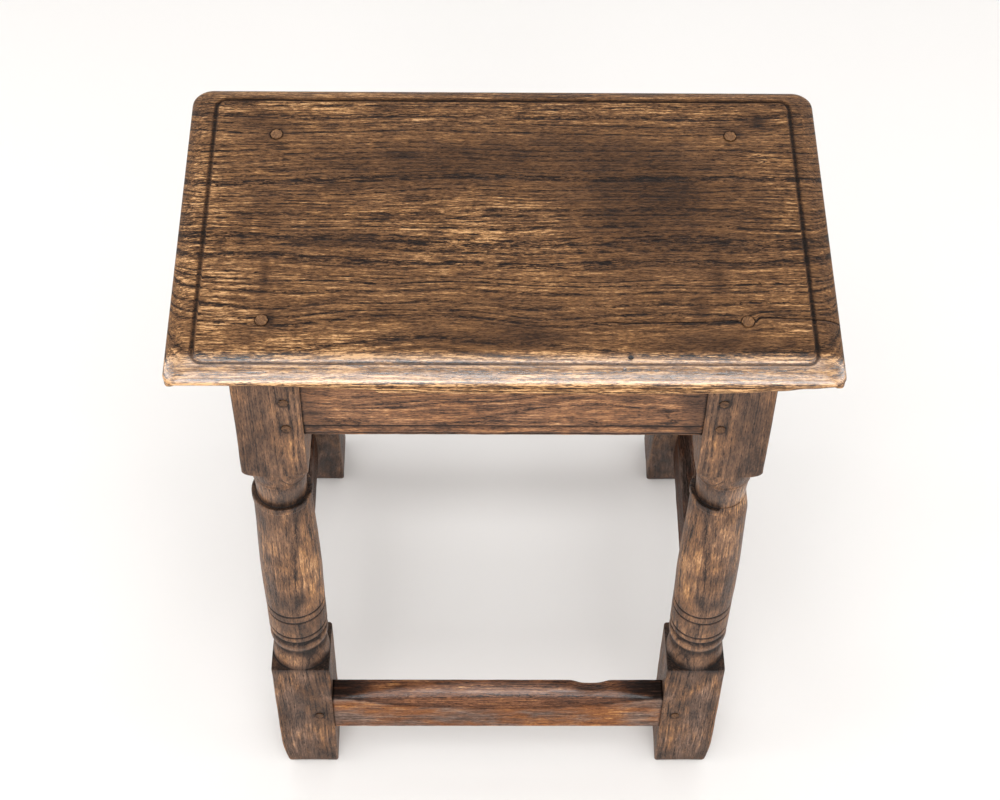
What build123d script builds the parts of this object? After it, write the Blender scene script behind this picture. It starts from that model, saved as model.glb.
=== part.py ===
from build123d import *
import os
from math import cos, degrees, radians, sin, sqrt, tan

# Joint stool. A moulded board is pegged to the heads of four turned legs, which rake out to the
# front and to the back; the back pair also leans out a little to the sides. Four rails under the
# board and four stretchers near the floor are tenoned into the square parts of the legs, and
# tapered pegs lock the joints. Long use has worn the front of the stool.
# Millimetres. X runs along the board, -Y is the front and Z is up. The origin is on the floor
# below the middle of the board.

# Whole stool
STOOL_HEIGHT = 552.0
SEAT_LENGTH = 460.0
SEAT_DEPTH = 263.0
SEAT_THICKNESS = 20.0
SEAT_OVERHANG_ENDS = 40.0
SEAT_OVERHANG_FRONT = 21.0
RAKE_DEGREES = 6.6
BACK_LEAN_DEGREES = 0.77

# Edge of the board: a groove scratched round the top, and a thumb moulding outside it
SEAT_FRONT_CORNER_RADIUS = 9.0
SEAT_BACK_CORNER_RADIUS = 14.0
GROOVE_FROM_ENDS = 19.0
GROOVE_FROM_FRONT = 13.5
GROOVE_CORNER_RADIUS = 8.0
GROOVE_TOOL_RADIUS = 2.0
GROOVE_DEPTH = 1.8
THUMB_STEP = 0.8
THUMB_FALL = 8.0
SEAT_LOWER_ROUND = 2.0

# Square parts of the legs, measured along the leg
LEG_STOCK = 49.0
LOWER_BLOCK_LENGTH = 150.5
UPPER_BLOCK_LENGTH = 122.0
LOWER_SHOULDER_ROUND = 3.0
UPPER_SHOULDER_ROUND = 8.0
FOOT_CHAMFER = 2.5
TOOL_OVERRUN = 0.4
END_WASTE = 30.0

# Turned part of the legs, from the lower block upwards
CONE_HEIGHT = 15.5
CONE_FOOT_RADIUS = 24.1
CONE_TOP_RADIUS = 22.3
COVE_HEIGHT = 11.0
COVE_FLOOR_RADIUS = 20.9
RING_HEIGHT = 8.4
RING_RADIUS = 24.0
HOLLOW_HEIGHT = 6.6
HOLLOW_FLOOR_RADIUS = 20.7
BAND_HEIGHT = 27.0
BAND_RADIUS = 24.0
BALUSTER_RADIUS = 24.45
BALUSTER_SWELL_HEIGHT = 46.0
BALUSTER_TOP_RADIUS = 22.4
COLLAR_HEIGHT = 5.6
COLLAR_RADIUS = 23.2
COLLAR_RECESS = 0.8
NECK_HEIGHT = 22.5
NECK_RADIUS = 19.3
NECK_TOP_RADIUS = 20.3
FILLET_HEIGHT = 5.0
FILLET_RADIUS = 20.9
OVOLO_HEIGHT = 16.0
OVOLO_FOOT_RADIUS = 21.8
OVOLO_TOP_RADIUS = 24.2
OVOLO_CURVE_RADIUS = 32.0
SCORE_HEIGHTS = (47.4, 68.7, 77.4)
SCORE_WIDTH = 1.4
SCORE_DEPTH = 0.7

# Rails under the board
APRON_HEIGHT = 77.0
APRON_THICKNESS = 22.0
APRON_SETBACK = 1.0
BEAD_TOP = 11.2
BEAD_BOTTOM = 2.9
BEAD_SUNK = 0.3
QUIRK_WIDTH = 1.8
QUIRK_DEPTH = 1.7

# Stretchers near the floor, measured along the leg
STRETCHER_FROM_FLOOR = 58.0
STRETCHER_HEIGHT = 47.0
STRETCHER_THICKNESS = 20.0
STRETCHER_SETBACK = 0.8

# Wear: feet on the front stretcher, knees on the board's lower edge, a kicked foot, a lost collar
WORN_DEPTH = 12.5
WORN_END_MARGIN = 5.0
HEEL_NOTCH_LENGTH = 39.0
HEEL_NOTCH_DEPTH = 6.0
HEEL_NOTCH_TILT_DEGREES = 17.0
HEEL_NOTCH_FROM_MIDDLE = 80.0
EDGE_WEAR_HEIGHT = 10.0
EDGE_WEAR_DEPTH = 8.0
EDGE_WEAR_FROM_MIDDLE_LEFT = 84.0
EDGE_WEAR_FROM_MIDDLE_RIGHT = 112.0
KICKED_FOOT_HEIGHT = 28.0
KICKED_FOOT_DEPTH = 5.5
COLLAR_LEFT_DEGREES = 120.0
COLLAR_LEFT_FACING_DEGREES = 205.0
COLLAR_BREAK_HEIGHT = 30.0

# Joints
TENON_THICKNESS = 8.0
TENON_WALL = 2.0
APRON_TENON_TOP_SHOULDER = 13.0
STRETCHER_TENON_SHOULDER = 4.0
MORTISE_CLEARANCE = 0.2
MORTISE_END_GAP = 1.0

# Pegs
PEG_DIAMETER = 7.0
PEG_TIP_DIAMETER = 5.4
PEG_LENGTH = 34.0
PEG_FROM_SHOULDER = 12.5
APRON_PEG_HEIGHTS = (10.0, 38.0)
END_PEG_RISE = 14.0
STRETCHER_PEG_HEIGHT = 20.0
SEAT_PEG_DIAMETER = 9.0
SEAT_PEG_TIP_DIAMETER = 7.4
SEAT_PEG_DEPTH = 36.0
PEG_SIDES = 8
PEG_CLEARANCE = 0.1
PEG_HOLE_END_GAP = 1.5

# Worked out from the sizes above
RAKE = radians(RAKE_DEGREES)
BACK_LEAN = radians(BACK_LEAN_DEGREES)
HALF_STOCK = LEG_STOCK / 2
SEAT_UNDERSIDE = STOOL_HEIGHT - SEAT_THICKNESS
LEG_LENGTH = SEAT_UNDERSIDE / cos(RAKE)
LEG_X = SEAT_LENGTH / 2 - SEAT_OVERHANG_ENDS - HALF_STOCK
LEG_HEAD_Y = SEAT_DEPTH / 2 - SEAT_OVERHANG_FRONT - HALF_STOCK / cos(RAKE)
LEG_FOOT_Y = LEG_HEAD_Y + SEAT_UNDERSIDE * tan(RAKE)
TENON_NEAR = SEAT_PEG_DIAMETER / 2 + TENON_WALL
TENON_FAR = TENON_NEAR + TENON_THICKNESS
MORTISE_DEPTH = HALF_STOCK + TENON_NEAR - TENON_WALL
TENON_LENGTH = MORTISE_DEPTH - MORTISE_END_GAP
APRON_BOTTOM = LEG_LENGTH - APRON_HEIGHT
APRON_TENON_TOP = LEG_LENGTH - APRON_TENON_TOP_SHOULDER
COLLAR_TOP = LEG_LENGTH - UPPER_BLOCK_LENGTH - OVOLO_HEIGHT - FILLET_HEIGHT - NECK_HEIGHT
STRETCHER_TOP = STRETCHER_FROM_FLOOR + STRETCHER_HEIGHT
STRETCHER_TENON_LOW = STRETCHER_FROM_FLOOR + STRETCHER_TENON_SHOULDER
STRETCHER_TENON_TOP = STRETCHER_TOP - STRETCHER_TENON_SHOULDER
REACH = STOOL_HEIGHT

# In this frame the front legs stand upright: local Z runs up a leg's axis and -Y faces the front.
FRONT_FRAME = Plane(origin=(0, -LEG_FOOT_Y, 0), x_dir=(1, 0, 0), z_dir=(0, sin(RAKE), cos(RAKE)))


def right_leg_place(lean):
    """Place of a right leg's axis. A leg that leans turns about its head, and its foot moves out."""
    return FRONT_FRAME * Pos(LEG_X, 0, LEG_LENGTH) * Rot(0, -degrees(lean), 0) * Pos(0, 0, -LEG_LENGTH)


def slab(low, high):
    """Everything between two levels, for level cuts through raked pieces."""
    return Pos(0, 0, (low + high) / 2) * Box(2 * REACH, 2 * REACH, high - low)


def beyond(a, b, c, inside):
    """Everything on the far side of the plane through three points, away from a point inside."""
    normal = (Vector(*b) - Vector(*a)).cross(Vector(*c) - Vector(*a)).normalized()
    if normal.dot(Vector(*inside) - Vector(*a)) > 0:
        normal = -normal
    return Plane(origin=a, z_dir=normal) * Pos(0, 0, REACH / 2) * Box(2 * REACH, 2 * REACH, REACH)


def left_of(piece):
    """The same piece on the other end of the stool."""
    return mirror(piece, about=Plane.YZ)


def back_of(piece):
    """The same piece on the other long side of the stool."""
    return mirror(piece, about=Plane.XZ)


# ---------------------------------------------------------------- board

def board_section(span, groove_inset):
    """Section across the board, with the thumb moulding on both edges, standing on y = 0."""
    half = span / 2
    thumb_start = half - groove_inset
    thumb_top = SEAT_THICKNESS - THUMB_STEP
    outline = Polyline(
        (0, 0),
        (0, SEAT_THICKNESS),
        (thumb_start, SEAT_THICKNESS),
        (thumb_start, thumb_top),
    )
    outline += EllipticalCenterArc(
        (thumb_start, thumb_top - THUMB_FALL),
        groove_inset,
        THUMB_FALL,
        start_angle=0,
        arc_size=90,
    )
    outline += Line((half, thumb_top - THUMB_FALL), (half, SEAT_LOWER_ROUND))
    outline += RadiusArc((half, SEAT_LOWER_ROUND), (half - SEAT_LOWER_ROUND, 0), SEAT_LOWER_ROUND)
    outline += Line((half - SEAT_LOWER_ROUND, 0), (0, 0))
    right = make_face(outline)
    return right + mirror(right, about=Plane.YZ)


def seat_groove():
    """Round-bottomed groove scratched round the top, just inside the moulding."""
    level = STOOL_HEIGHT + GROOVE_TOOL_RADIUS - GROOVE_DEPTH
    path = RectangleRounded(
        SEAT_LENGTH - 2 * GROOVE_FROM_ENDS,
        SEAT_DEPTH - 2 * GROOVE_FROM_FRONT,
        GROOVE_CORNER_RADIUS,
    )
    path = Pos(0, 0, level) * path.wires()[0]
    start = Plane(origin=path @ 0, z_dir=path % 0)
    return sweep(start * Circle(GROOVE_TOOL_RADIUS), path=path)


def edge_wear(end, start):
    """What knees and cloths rubbed off the lower front edge, more and more from start to end."""
    front = -SEAT_DEPTH / 2
    return beyond(
        (start, front, SEAT_UNDERSIDE),
        (end, front, SEAT_UNDERSIDE + EDGE_WEAR_HEIGHT),
        (end, front + EDGE_WEAR_DEPTH, SEAT_UNDERSIDE),
        inside=(0, 0, STOOL_HEIGHT),
    )


def seat_plan():
    """Outline of the board from above. Its back corners are rounder than its front ones."""
    plan = Rectangle(SEAT_LENGTH, SEAT_DEPTH)
    plan = fillet(plan.vertices().group_by(Axis.Y)[0], SEAT_FRONT_CORNER_RADIUS)
    return fillet(plan.vertices().group_by(Axis.Y)[-1], SEAT_BACK_CORNER_RADIUS)


def seat_board():
    """One plank: both moulded sections meet in mitres, and the plan has rounded corners."""
    ends = extrude(Plane.XZ * board_section(SEAT_LENGTH, GROOVE_FROM_ENDS), SEAT_DEPTH / 2, both=True)
    sides = extrude(Plane.YZ * board_section(SEAT_DEPTH, GROOVE_FROM_FRONT), SEAT_LENGTH / 2, both=True)
    board = Pos(0, 0, SEAT_UNDERSIDE) * (ends & sides & extrude(seat_plan(), SEAT_THICKNESS))
    board -= edge_wear(-SEAT_LENGTH / 2, -EDGE_WEAR_FROM_MIDDLE_LEFT)
    board -= edge_wear(SEAT_LENGTH / 2, EDGE_WEAR_FROM_MIDDLE_RIGHT)
    return board - seat_groove() - seat_peg_group(PEG_CLEARANCE)


# ---------------------------------------------------------------- legs

def turning_outline():
    """Half section of a whole leg on the lathe. It runs clear of the stock where that stays square."""
    clear = LEG_STOCK
    corner = LEG_STOCK / sqrt(2) + TOOL_OVERRUN
    block = LOWER_BLOCK_LENGTH
    cone = block + CONE_HEIGHT
    cove = cone + COVE_HEIGHT
    ring = cove + RING_HEIGHT
    hollow = ring + HOLLOW_HEIGHT
    band = hollow + BAND_HEIGHT
    head = LEG_LENGTH - UPPER_BLOCK_LENGTH
    fillet = head - OVOLO_HEIGHT
    neck = fillet - FILLET_HEIGHT
    collar = COLLAR_TOP
    baluster = collar - COLLAR_HEIGHT
    ring_edge = (CONE_TOP_RADIUS + RING_RADIUS) / 2

    outline = Polyline(
        (0, -END_WASTE),
        (clear, -END_WASTE),
        (clear, block - LOWER_SHOULDER_ROUND),
        (corner, block - LOWER_SHOULDER_ROUND),
    )
    outline += RadiusArc(
        (corner, block - LOWER_SHOULDER_ROUND),
        (corner - LOWER_SHOULDER_ROUND, block),
        -LOWER_SHOULDER_ROUND,
    )
    outline += Line((corner - LOWER_SHOULDER_ROUND, block), (CONE_FOOT_RADIUS, block))
    outline += Line((CONE_FOOT_RADIUS, block), (CONE_TOP_RADIUS, cone))
    outline += ThreePointArc(
        (CONE_TOP_RADIUS, cone),
        (COVE_FLOOR_RADIUS, cone + COVE_HEIGHT / 2),
        (ring_edge, cove),
    )
    outline += ThreePointArc((ring_edge, cove), (RING_RADIUS, cove + RING_HEIGHT / 2), (ring_edge, ring))
    outline += ThreePointArc(
        (ring_edge, ring),
        (HOLLOW_FLOOR_RADIUS, ring + HOLLOW_HEIGHT / 2),
        (BAND_RADIUS, hollow),
    )
    outline += Line((BAND_RADIUS, hollow), (BAND_RADIUS, band))
    outline += Spline(
        (BAND_RADIUS, band),
        (BALUSTER_RADIUS, band + BALUSTER_SWELL_HEIGHT),
        (BALUSTER_TOP_RADIUS, baluster),
        tangents=((0, 1), (0, 1)),
    )
    outline += Polyline(
        (BALUSTER_TOP_RADIUS, baluster),
        (COLLAR_RADIUS, baluster),
        (COLLAR_RADIUS, collar),
        (NECK_RADIUS, collar - COLLAR_RECESS),
    )
    outline += ThreePointArc(
        (NECK_RADIUS, collar - COLLAR_RECESS),
        (NECK_RADIUS, collar + NECK_HEIGHT / 2),
        (NECK_TOP_RADIUS, neck),
    )
    outline += Polyline(
        (NECK_TOP_RADIUS, neck),
        (FILLET_RADIUS, neck),
        (FILLET_RADIUS, fillet),
        (OVOLO_FOOT_RADIUS, fillet),
    )
    outline += RadiusArc((OVOLO_FOOT_RADIUS, fillet), (OVOLO_TOP_RADIUS, head), -OVOLO_CURVE_RADIUS)
    outline += Line((OVOLO_TOP_RADIUS, head), (corner - UPPER_SHOULDER_ROUND, head))
    outline += RadiusArc(
        (corner - UPPER_SHOULDER_ROUND, head),
        (corner, head + UPPER_SHOULDER_ROUND),
        -UPPER_SHOULDER_ROUND,
    )
    outline += Polyline(
        (corner, head + UPPER_SHOULDER_ROUND),
        (clear, head + UPPER_SHOULDER_ROUND),
        (clear, LEG_LENGTH + END_WASTE),
        (0, LEG_LENGTH + END_WASTE),
        (0, -END_WASTE),
    )
    return make_face(outline)


def score_line(height):
    """Fine V-shaped line that the turner cut round the leg."""
    middle = LOWER_BLOCK_LENGTH + height
    outline = Polyline(
        (BAND_RADIUS - SCORE_DEPTH, middle),
        (BAND_RADIUS + SCORE_DEPTH, middle + SCORE_WIDTH),
        (BAND_RADIUS + SCORE_DEPTH, middle - SCORE_WIDTH),
        (BAND_RADIUS - SCORE_DEPTH, middle),
    )
    return revolve(Plane.XZ * make_face(outline), Axis.Z)


def leg_right(lean):
    """Square stock, turned between its two blocks, cut level at head and foot, then mortised."""
    blank = Pos(0, 0, LEG_LENGTH / 2) * Box(LEG_STOCK, LEG_STOCK, LEG_LENGTH + END_WASTE)
    leg = blank & revolve(Plane.XZ * turning_outline(), Axis.Z)
    for height in SCORE_HEIGHTS:
        leg -= score_line(height)
    leg = right_leg_place(lean) * leg & slab(0, SEAT_UNDERSIDE)
    leg = chamfer(leg.edges().group_by(Axis.Z)[0], FOOT_CHAMFER)
    for low, high in ((APRON_BOTTOM, APRON_TENON_TOP), (STRETCHER_TENON_LOW, STRETCHER_TENON_TOP)):
        leg -= long_core(low, high, MORTISE_DEPTH, MORTISE_CLEARANCE, lean)
        leg -= end_core(low, high, MORTISE_DEPTH, MORTISE_CLEARANCE)
    for heights in (apron_peg_heights(), stretcher_peg_heights()):
        leg -= long_pegs(heights, PEG_CLEARANCE, lean)
        leg -= end_joint_pegs(heights, PEG_CLEARANCE, lean)
    return leg - seat_peg_right(PEG_CLEARANCE, lean)


def lost_collar():
    """Most of the front right leg's collar, which split off and left a slope up to the neck."""
    outline = Polyline(
        (NECK_RADIUS, COLLAR_TOP),
        (LEG_STOCK, COLLAR_TOP),
        (LEG_STOCK, COLLAR_TOP - COLLAR_BREAK_HEIGHT),
        (BALUSTER_RADIUS, COLLAR_TOP - COLLAR_BREAK_HEIGHT),
        (NECK_RADIUS, COLLAR_TOP),
    )
    lost = revolve(Plane.XZ * make_face(outline), Axis.Z, 360 - COLLAR_LEFT_DEGREES)
    start = COLLAR_LEFT_FACING_DEGREES + COLLAR_LEFT_DEGREES / 2
    return right_leg_place(0) * Rot(0, 0, start) * lost


def without_collar(leg):
    """The leg after its collar split off. The cut may leave the lost piece as a solid, so it is dropped."""
    return (leg - lost_collar()).solids().sort_by(SortBy.VOLUME)[-1]


def kicked_foot():
    """What shoes have knocked off the outer side of one front foot."""
    side = LEG_X + HALF_STOCK
    return FRONT_FRAME * beyond(
        (side, 0, KICKED_FOOT_HEIGHT),
        (side, LEG_STOCK, KICKED_FOOT_HEIGHT),
        (side - KICKED_FOOT_DEPTH, 0, 0),
        inside=(LEG_X, 0, COLLAR_TOP),
    )


# ---------------------------------------------------------------- rails and stretchers

def rail_section(height, thickness, beaded):
    """Section of a rail: its outer face lies on x = 0, its lower edge on y = 0."""
    if not beaded:
        return Pos(thickness / 2, height / 2) * Rectangle(thickness, height)
    outline = Polyline(
        (thickness, 0),
        (thickness, height),
        (0, height),
        (0, BEAD_TOP + QUIRK_WIDTH),
        (QUIRK_DEPTH, BEAD_TOP),
    )
    outline += ThreePointArc(
        (QUIRK_DEPTH, BEAD_TOP),
        (BEAD_SUNK, (BEAD_TOP + BEAD_BOTTOM) / 2),
        (QUIRK_DEPTH, BEAD_BOTTOM),
    )
    outline += Polyline((QUIRK_DEPTH, BEAD_BOTTOM), (QUIRK_DEPTH, 0), (thickness, 0))
    return make_face(outline)


def spread(height, lean):
    """How far out a leg that leans stands, at a height up the leg."""
    return (LEG_LENGTH - height) * tan(lean)


def long_prism(low, high, depth, lean):
    """Front view of a long rail between the left and right legs, as a prism that runs front to back."""
    inner_face = LEG_X - HALF_STOCK / cos(lean)
    low_x = inner_face + spread(low, lean) + depth
    high_x = inner_face + spread(high, lean) + depth
    outline = Polyline((-low_x, low), (low_x, low), (high_x, high), (-high_x, high), (-low_x, low))
    return extrude(Plane.XZ * make_face(outline), REACH, both=True)


def long_core(low, high, depth, clearance, lean):
    """Both tenons of a front rail and the wood between them, or with a clearance their mortises."""
    thickness = TENON_THICKNESS + 2 * clearance
    sheet = Pos(0, -(TENON_NEAR + TENON_FAR) / 2, 0) * Box(2 * REACH, thickness, 2 * REACH)
    return FRONT_FRAME * (long_prism(low - clearance, high + clearance, depth, lean) & sheet)


def shoulder_y(height):
    """Half the distance between the front and back legs at a level, where an end rail fits."""
    return LEG_FOOT_Y - height * tan(RAKE) - HALF_STOCK / cos(RAKE)


def end_prism(low, high, depth):
    """Side view of an end rail, whose ends follow the rake, as a prism that runs along X."""
    extra = depth / cos(RAKE)
    outline = Polyline(
        (-shoulder_y(low) - extra, low),
        (shoulder_y(low) + extra, low),
        (shoulder_y(high) + extra, high),
        (-shoulder_y(high) - extra, high),
        (-shoulder_y(low) - extra, low),
    )
    return extrude(Plane.YZ * make_face(outline), REACH, both=True)


def end_core(low, high, depth, clearance):
    """Both tenons of a right rail and the wood between them, or with a clearance their mortises."""
    bottom = low * cos(RAKE) - clearance
    top = high * cos(RAKE) + clearance
    thickness = TENON_THICKNESS + 2 * clearance
    sheet = Pos(LEG_X + (TENON_NEAR + TENON_FAR) / 2, 0, 0) * Box(thickness, 2 * REACH, 2 * REACH)
    return end_prism(bottom, top, depth) & sheet


def long_rail(low, height, thickness, setback, beaded, lean):
    """Body of a front rail between the legs, square to their raked faces."""
    section = rail_section(height, thickness, beaded)
    body = extrude(Plane.YZ * section, REACH, both=True)
    body = Pos(0, setback - HALF_STOCK, low) * body
    return FRONT_FRAME * (body & long_prism(low, low + height, 0, lean))


def end_rail(low, height, thickness, setback, beaded):
    """Body of a right rail: it stands upright, and its shoulders follow the rake of the legs."""
    bottom = low * cos(RAKE)
    top = (low + height) * cos(RAKE)
    section = rail_section(top - bottom, thickness, beaded)
    body = extrude(Plane.XZ * mirror(section, about=Plane.YZ), REACH, both=True)
    body = Pos(LEG_X + HALF_STOCK - setback, 0, bottom) * body
    return body & end_prism(bottom, top, 0)


def apron_front(lean):
    """Front rail under the board, with its bead, its tenons and its peg holes."""
    height = APRON_HEIGHT + END_WASTE
    body = long_rail(APRON_BOTTOM, height, APRON_THICKNESS, APRON_SETBACK, True, lean)
    body &= slab(0, SEAT_UNDERSIDE)
    body += long_core(APRON_BOTTOM, APRON_TENON_TOP, TENON_LENGTH, 0, lean)
    return body - long_pegs(apron_peg_heights(), PEG_CLEARANCE, lean)


def apron_right():
    """End rail under the board."""
    body = end_rail(APRON_BOTTOM, APRON_HEIGHT, APRON_THICKNESS, APRON_SETBACK, True)
    body += end_core(APRON_BOTTOM, APRON_TENON_TOP, TENON_LENGTH, 0)
    return body - end_pegs(apron_peg_heights(), PEG_CLEARANCE)


def foot_wear():
    """Long hollow that resting feet wear across the upper front corner of the front stretcher."""
    half_length = LEG_X - HALF_STOCK - WORN_END_MARGIN
    radius = (half_length**2 + WORN_DEPTH**2) / (2 * WORN_DEPTH)
    away = (radius - WORN_DEPTH) / sqrt(2)
    corner = Pos(0, STRETCHER_SETBACK - HALF_STOCK - away, STRETCHER_TOP + away)
    return FRONT_FRAME * corner * Rot(-45, 0, 0) * Cylinder(radius, 2 * LEG_STOCK)


def heel_notch():
    """Short hollow in the back edge of the front stretcher's top."""
    radius = (HEEL_NOTCH_LENGTH**2 / 4 + HEEL_NOTCH_DEPTH**2) / (2 * HEEL_NOTCH_DEPTH)
    back = STRETCHER_SETBACK - HALF_STOCK + STRETCHER_THICKNESS
    middle = Pos(HEEL_NOTCH_FROM_MIDDLE, back, STRETCHER_TOP - HEEL_NOTCH_DEPTH + radius)
    return FRONT_FRAME * middle * Rot(90 - HEEL_NOTCH_TILT_DEGREES, 0, 0) * Cylinder(radius, 2 * LEG_STOCK)


def stretcher_front(lean):
    """Front stretcher before feet wore it, which is also the shape of the back one."""
    body = long_rail(
        STRETCHER_FROM_FLOOR, STRETCHER_HEIGHT, STRETCHER_THICKNESS, STRETCHER_SETBACK, False, lean
    )
    body += long_core(STRETCHER_TENON_LOW, STRETCHER_TENON_TOP, TENON_LENGTH, 0, lean)
    return body - long_pegs(stretcher_peg_heights(), PEG_CLEARANCE, lean)


def stretcher_right():
    """End stretcher."""
    body = end_rail(STRETCHER_FROM_FLOOR, STRETCHER_HEIGHT, STRETCHER_THICKNESS, STRETCHER_SETBACK, False)
    body += end_core(STRETCHER_TENON_LOW, STRETCHER_TENON_TOP, TENON_LENGTH, 0)
    return body - end_pegs(stretcher_peg_heights(), PEG_CLEARANCE)


# ---------------------------------------------------------------- pegs

def apron_peg_heights():
    """Heights up the leg of the pegs in a front rail's joint."""
    return [APRON_BOTTOM + height for height in APRON_PEG_HEIGHTS]


def stretcher_peg_heights():
    """Height up the leg of the peg in a front stretcher's joint."""
    return [STRETCHER_FROM_FLOOR + STRETCHER_PEG_HEIGHT]


def peg(diameter, tip_diameter, length, clearance):
    """Riven peg with a tapered eight-sided body, head at z = 0, or with a clearance its round hole."""
    if clearance:
        depth = length + PEG_HOLE_END_GAP
        return Pos(0, 0, -depth / 2) * Cylinder(diameter / 2 + clearance, depth)
    head = RegularPolygon(diameter / 2, PEG_SIDES)
    tip = RegularPolygon(tip_diameter / 2, PEG_SIDES)
    return loft([Pos(0, 0, -length) * tip, head])


def long_pegs(heights, clearance, lean):
    """Pegs driven from the front, through both joints of a front rail."""
    group = []
    for height in heights:
        shoulder_x = LEG_X - HALF_STOCK / cos(lean) + spread(height, lean)
        place = Pos(shoulder_x + PEG_FROM_SHOULDER, -HALF_STOCK, height) * Rot(90, 0, 0)
        one = FRONT_FRAME * place * peg(PEG_DIAMETER, PEG_TIP_DIAMETER, PEG_LENGTH, clearance)
        group += [one, left_of(one)]
    return Compound(group)


def end_joint_pegs(heights, clearance, lean):
    """Pegs driven from the right into the front leg, above the long rail's pegs so that they miss them."""
    group = []
    for height in heights:
        height += END_PEG_RISE
        level = height * cos(RAKE)
        outer_face = LEG_X + HALF_STOCK / cos(lean) + spread(height, lean)
        place = Pos(outer_face, -shoulder_y(level) - PEG_FROM_SHOULDER, level) * Rot(0, 90, 0)
        group.append(place * peg(PEG_DIAMETER, PEG_TIP_DIAMETER, PEG_LENGTH, clearance))
    return Compound(group)


def end_pegs(heights, clearance):
    """Pegs driven from the right, through both joints of a right rail."""
    front = end_joint_pegs(heights, clearance, 0)
    back = back_of(end_joint_pegs(heights, clearance, BACK_LEAN))
    return Compound(front.solids() + back.solids())


def seat_peg_right(clearance, lean):
    """Peg driven down through the board into the head of the front right leg, cut off flush."""
    above = SEAT_THICKNESS / cos(RAKE) + SEAT_PEG_DIAMETER
    length = above + SEAT_PEG_DEPTH
    one = peg(SEAT_PEG_DIAMETER, SEAT_PEG_TIP_DIAMETER, length, clearance)
    one = right_leg_place(lean) * Pos(0, 0, LEG_LENGTH + above) * one
    if clearance:
        return one
    return one & slab(0, STOOL_HEIGHT)


def seat_peg_group(clearance):
    """The four board pegs, or with a clearance their holes."""
    right = [seat_peg_right(clearance, 0), back_of(seat_peg_right(clearance, BACK_LEAN))]
    return Compound(right + [left_of(piece) for piece in right])


# ---------------------------------------------------------------- pieces

def all_pieces():
    """Every node of the stool, by name."""
    front_leg = leg_right(0)
    back_leg = back_of(leg_right(BACK_LEAN))
    apron_end = apron_right()
    stretcher_end = stretcher_right()
    apron_end_pegs = end_pegs(apron_peg_heights(), 0)
    stretcher_end_pegs = end_pegs(stretcher_peg_heights(), 0)
    return {
        "seat_board": seat_board(),
        "leg_front_right": without_collar(front_leg),
        "leg_front_left": left_of(front_leg - kicked_foot()),
        "leg_back_right": back_leg,
        "leg_back_left": left_of(back_leg),
        "apron_front": apron_front(0),
        "apron_back": back_of(apron_front(BACK_LEAN)),
        "apron_right": apron_end,
        "apron_left": left_of(apron_end),
        "stretcher_front": stretcher_front(0) - foot_wear() - heel_notch(),
        "stretcher_back": back_of(stretcher_front(BACK_LEAN)),
        "stretcher_right": stretcher_end,
        "stretcher_left": left_of(stretcher_end),
        "seat_pegs": seat_peg_group(0),
        "apron_front_pegs": long_pegs(apron_peg_heights(), 0, 0),
        "apron_back_pegs": back_of(long_pegs(apron_peg_heights(), 0, BACK_LEAN)),
        "apron_right_pegs": apron_end_pegs,
        "apron_left_pegs": left_of(apron_end_pegs),
        "stretcher_front_pegs": long_pegs(stretcher_peg_heights(), 0, 0),
        "stretcher_back_pegs": back_of(long_pegs(stretcher_peg_heights(), 0, BACK_LEAN)),
        "stretcher_right_pegs": stretcher_end_pegs,
        "stretcher_left_pegs": left_of(stretcher_end_pegs),
    }


os.makedirs("parts", exist_ok=True)
for name, piece in all_pieces().items():
    piece.label = name
    export_step(piece, f"parts/{name}.step")
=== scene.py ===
# %% [markdown]
# # An old joint stool
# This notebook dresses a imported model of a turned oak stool. Every timber of the real stool is
# one piece of wood whose edges have been rubbed round by three centuries of feet, knees and
# polish, so each one is modelled here again as a fine skin on the same sizes, and then worn.

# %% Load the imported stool
import bpy
import bmesh
from math import atan2, copysign, cos, exp, hypot, pi, radians, sin, sqrt, tan
from mathutils import Matrix, Vector, noise


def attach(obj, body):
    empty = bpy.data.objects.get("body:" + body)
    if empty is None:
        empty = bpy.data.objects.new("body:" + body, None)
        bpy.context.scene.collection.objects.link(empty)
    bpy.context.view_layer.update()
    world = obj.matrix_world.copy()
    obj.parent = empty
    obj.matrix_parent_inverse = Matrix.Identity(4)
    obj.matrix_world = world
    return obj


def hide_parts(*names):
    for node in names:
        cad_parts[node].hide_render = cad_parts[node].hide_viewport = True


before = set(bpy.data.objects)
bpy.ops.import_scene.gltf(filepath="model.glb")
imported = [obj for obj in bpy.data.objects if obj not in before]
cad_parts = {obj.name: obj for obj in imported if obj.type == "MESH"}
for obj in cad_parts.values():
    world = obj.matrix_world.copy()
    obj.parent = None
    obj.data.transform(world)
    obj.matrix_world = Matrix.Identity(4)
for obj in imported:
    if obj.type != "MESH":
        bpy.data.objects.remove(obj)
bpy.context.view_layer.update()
scene = bpy.context.scene
scene.view_settings.view_transform = "Standard"
print("nodes:", ", ".join(sorted(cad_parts)))

# %% [markdown]
# ## Camera
# The stool is seen from above its front edge, as a standing person sees it. Three facts place
# the camera: where the eye is, which way it looks, and how long the lens is.

# %% Camera
MM = 0.001
EYE = Vector((-20.6, -838.8, 1591.4)) * MM
YAW, PITCH, ROLL = radians(1.393), radians(56.397), radians(1.32)
LENS_MM = 68.01

look = Vector((sin(YAW) * cos(PITCH), cos(YAW) * cos(PITCH), -sin(PITCH)))
level = Vector((cos(YAW), -sin(YAW), 0))
over = level.cross(look)
across = cos(ROLL) * level + sin(ROLL) * over
upward = cos(ROLL) * over - sin(ROLL) * level
turn = Matrix((across, upward, -look)).transposed().to_4x4()

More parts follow.
